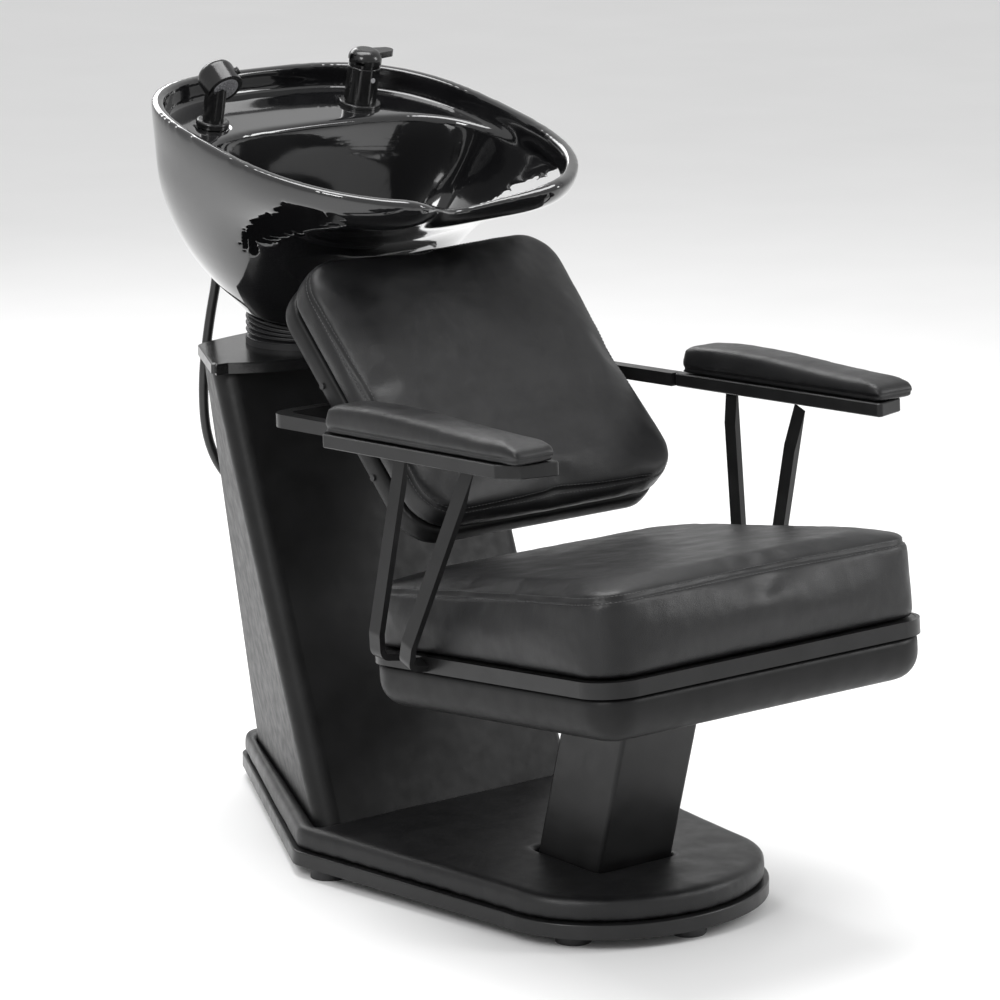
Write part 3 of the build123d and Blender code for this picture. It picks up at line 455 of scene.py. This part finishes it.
def round_seam(piece, lie, corner, level, step=0.0015):
    """Points of a seam that runs round a cushion at a level above its mounted side, on its surface."""
    mesh = piece.data
    tree = BVHTree.FromPolygons([v.co for v in mesh.vertices], [p.vertices for p in mesh.polygons])
    points = []
    for u, v, a, b in rounded_outline(lie.half.x, lie.half.y, corner, step):
        way = lie.u * a + lie.v * b
        start = lie.at(u, v, level(v)) + way * 0.05
        hit, normal, _, _ = tree.ray_cast(start, -way, 0.2)
        if hit:
            points.append((hit, normal))
    return points


def groove(piece, seam, depth, width):
    """Pull the surface in along a seam."""
    tree = kdtree.KDTree(len(seam))
    for i, (place, _) in enumerate(seam):
        tree.insert(place, i)
    tree.balance()
    mesh = piece.data
    normals = [v.normal.copy() for v in mesh.vertices]
    for vertex, normal in zip(mesh.vertices, normals):
        gap = tree.find(vertex.co)[2]
        vertex.co -= normal * depth * math.exp(-((gap / width) ** 2))


def crease(piece, amount, size):
    """The small unevenness of leather drawn over foam."""
    mesh = piece.data
    normals = [v.normal.copy() for v in mesh.vertices]
    for vertex, normal in zip(mesh.vertices, normals):
        vertex.co += normal * amount * noise.fractal(vertex.co / size, 0.6, 2.0, 3)


STITCH_PITCH, STITCH_LENGTH, THREAD_RADIUS = 0.0052, 0.0038, 0.0005
THREAD_SIDES = 6


def sew(name, rows, body):
    """Rows of stitches, each a short bowed thread lying on the leather."""
    points, faces = [], []
    for row in rows:
        places = spaced([place for place, _ in row], STITCH_PITCH)
        finder = kdtree.KDTree(len(row))
        for i, (place, _) in enumerate(row):
            finder.insert(place, i)
        finder.balance()
        for a, b in zip(places, places[1:]):
            normal = row[finder.find(a)[1]][1]
            along = (b - a).normalized()
            side = along.cross(normal).normalized()
            first = len(points)
            for share, swell_share in ((0, 0.3), (0.2, 1), (0.8, 1), (1, 0.3)):
                centre = a + along * (share * STITCH_LENGTH) + normal * THREAD_RADIUS * (swell_share - 0.5)
                for j in range(THREAD_SIDES):
                    turn = 2 * math.pi * j / THREAD_SIDES
                    around = side * math.cos(turn) + normal * math.sin(turn)
                    points.append(centre + around * THREAD_RADIUS * max(0.6, swell_share))
            faces += [tuple(first + i for i in face) for face in quads(4, THREAD_SIDES)]
            faces.append(tuple(first + j for j in reversed(range(THREAD_SIDES))))
            faces.append(tuple(first + 3 * THREAD_SIDES + j for j in range(THREAD_SIDES)))
    piece = add_mesh(name, points, faces)
    piece.data.materials.append(THREAD_WITH_PAINTED_GLINT)
    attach(piece, body)


def upholster(name, node, lean, corner, seams, voxel=0.006, shrink=0.004, pressure=1.2, cap=0.008):
    """One cushion: simulated, grooved and stitched along its seams, creased and attached to the stand."""
    lie = Lie(node, lean)
    piece = sim_cushion(name, node, lie, voxel, shrink, pressure, cap)
    rows = []
    crease(piece, CREASE_DEPTH, 0.05)
    for level, _ in seams:
        groove(piece, round_seam(piece, lie, corner, level), GROOVE_DEPTH, GROOVE_WIDTH)
    for level, gaps in seams:
        for gap in gaps:
            rows.append(round_seam(piece, lie, corner, lambda v: level(v) + gap))
    paint(piece, "leather_black")
    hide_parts(node)
    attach(piece, "stand")
    if rows:
        sew(name + "_stitches", rows, "stand")


STITCH_ROWS = (-0.0035, 0.0035)
SEAT_LEAN = math.radians(6.07)
BACK_LEAN = math.radians(-43.63)
ARM_LEAN = math.atan(0.0652)


def seat_seam(v):
    """The seat's top seam climbs from the rear to the front."""
    return 0.078 - 0.061 * v


upholster("seat", "seat_cushion", SEAT_LEAN, 0.05, [(seat_seam, STITCH_ROWS)])
upholster(
    "back",
    "back_cushion",
    BACK_LEAN,
    0.05,
    [(lambda v: 0.038, STITCH_ROWS), (lambda v: 0.003, ())],
    shrink=0,
)
for side in ("left", "right"):
    upholster(
        side + "_armrest",
        side + "_arm_pad",
        ARM_LEAN,
        0.012,
        [(lambda v: 0.006, ())],
        voxel=0.004,
        shrink=0.002,
        pressure=1.0,
        cap=0.003,
    )


COVER_VOXEL, COVER_PASSES = 0.004, 8


def cover_pad(name, node):
    """The thin pad over the platform: soft edges and a slightly uneven top, no simulation needed."""
    piece = copy_of(name, node)
    soften(piece, 0, COVER_VOXEL, COVER_PASSES)
    crease(piece, CREASE_DEPTH, 0.09)
    paint(piece, "base_cover")
    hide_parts(node)
    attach(piece, "stand")


cover_pad("platform_pad", "base_pad")


def cover_shell(name, node, lean):
    """A board covered in leatherette: the CAD shape with its edges rounded over by the cover."""
    piece = copy_of(name, node)
    soften(piece, lean, COVER_VOXEL, COVER_PASSES)
    paint(piece, "shell_black")
    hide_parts(node)
    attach(piece, "stand")


cover_shell("back_cover", "back_shell", BACK_LEAN)
cover_shell("seat_cover", "seat_pan", SEAT_LEAN)


# ---------------------------------------------------------------- bowl
BOWL_LEAN = math.radians(-11.3)
GLAZE_VOXEL, GLAZE_PASSES = 0.0026, 24


def glazed_bowl():
    """The ceramic: the CAD bowl with its rims and edges rounded over as a thick glaze leaves them."""
    piece = copy_of("wash_bowl", "bowl")
    soften(piece, BOWL_LEAN, GLAZE_VOXEL, GLAZE_PASSES)
    paint(piece, "ceramic_black")
    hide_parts("bowl")
    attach(piece, "bowl_body")


glazed_bowl()

# ---------------------------------------------------------------- boot
FOLDS, FOLD_DEPTH = 4, 0.007
RUBBER_THICK = 0.003


def bellows():
    """The folded rubber boot between the tower and the bowl."""
    low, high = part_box("boot")
    centre_y = (low.y + high.y) / 2
    half_x, half_y = (high.x - low.x) / 2, (high.y - low.y) / 2
    around, levels = 72, 48
    slope = math.tan(-BOWL_LEAN)
    points = []
    for i in range(levels + 1):
        share = i / levels
        pinch = FOLD_DEPTH * (0.5 - 0.5 * math.cos(2 * math.pi * FOLDS * share))
        for j in range(around):
            turn = 2 * math.pi * j / around
            x = (half_x - pinch) * math.cos(turn)
            y = (half_y - pinch) * math.sin(turn)
            rise = (high.z - low.z - half_y * slope) + slope * y * 0.9
            points.append((x, centre_y + y, low.z + 0.0005 + share * (rise - 0.001)))
    piece = add_mesh("boot_bellows", points, quads(levels + 1, around))
    wall = piece.modifiers.new("wall", "SOLIDIFY")
    wall.thickness = RUBBER_THICK
    wall.offset = -1
    bake_modifiers(piece)
    paint(piece, "rubber_black")
    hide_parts("boot")
    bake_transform(piece)


bellows()


# ---------------------------------------------------------------- stage
FLOOR_REACH = 40.0
WORLD_LIGHT = 0.72


def add_floor():
    """A white studio floor far wider than the view."""
    corners = [(x * FLOOR_REACH, y * FLOOR_REACH, 0) for x, y in ((-1, -1), (1, -1), (1, 1), (-1, 1))]
    floor = add_mesh("floor", corners, [(0, 1, 2, 3)])
    f = Finish("floor_paint")
    f.colour(f.cloud(3, 2), (0.88, 0.88, 0.88), (0.90, 0.90, 0.90))
    f.roughness(f.cloud(4, 2), 0.6, 0.7)
    floor.data.materials.append(f.material)


def add_light(name, place, target, size, power):
    """A rectangular area light that faces a target."""
    data = bpy.data.lights.new(name, "AREA")
    data.shape = "RECTANGLE"
    data.size, data.size_y = size
    data.energy = power
    light = bpy.data.objects.new(name, data)
    scene.collection.objects.link(light)
    light.location = place
    light.rotation_euler = (Vector(target) - Vector(place)).to_track_quat("-Z", "Y").to_euler()


def add_studio():
    """White surroundings and four soft lights round the object."""
    world = bpy.data.worlds.new("studio")
    world.use_nodes = True
    sky = world.node_tree.nodes["Background"]
    sky.inputs["Color"].default_value = (1, 1, 1, 1)
    sky.inputs["Strength"].default_value = WORLD_LIGHT
    scene.world = world
    add_light("key", (-2.8, -1.2, 2.4), (0, 0, 0.5), (0.9, 1.3), 55)
    add_light("fill", (2.6, -2.2, 1.9), (0, -0.1, 0.5), (0.8, 1.4), 40)
    add_light("top", (0.1, 0.5, 3.2), (0, 0, 0.4), (2.2, 1.4), 75)
    add_light("behind", (0.5, 3.0, 2.4), (0, 0, 0.7), (2.4, 1.0), 40)
    scene.view_settings.view_transform = "Standard"


add_floor()
add_studio()
